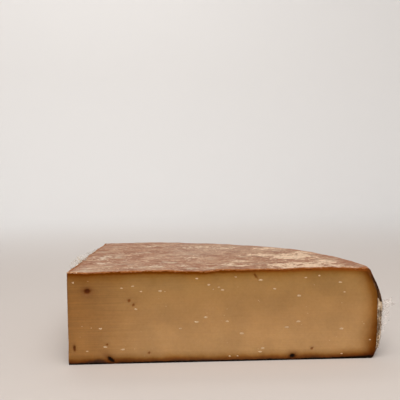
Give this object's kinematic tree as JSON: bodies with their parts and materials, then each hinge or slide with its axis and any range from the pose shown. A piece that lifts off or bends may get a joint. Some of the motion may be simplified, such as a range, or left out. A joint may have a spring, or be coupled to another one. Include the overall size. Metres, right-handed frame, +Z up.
{
  "type": "cheese",
  "caption": "Quarter of a big hard mountain cheese wheel with two knife-cut faces, a brown mottled rind and a remnant of cling film.",
  "frame": {"origin": "under the middle of the whole part's box, on the plane that the cheese rests on", "axes": "+Z up out of the upper rind, -Y out of the long cut, -X out of the short cut"},
  "size_m": [0.3818, 0.3148, 0.1047],
  "materials": {
    "cheese": "cut paste, warm tan with white crystals, inside a dry brown rind with pale bloom",
    "cling_film": "clear glossy film, wrinkled"
  },
  "bodies": {
    "root": {"cheese": "cheese", "cling_film": "cling_film"}
  },
  "joints": []
}
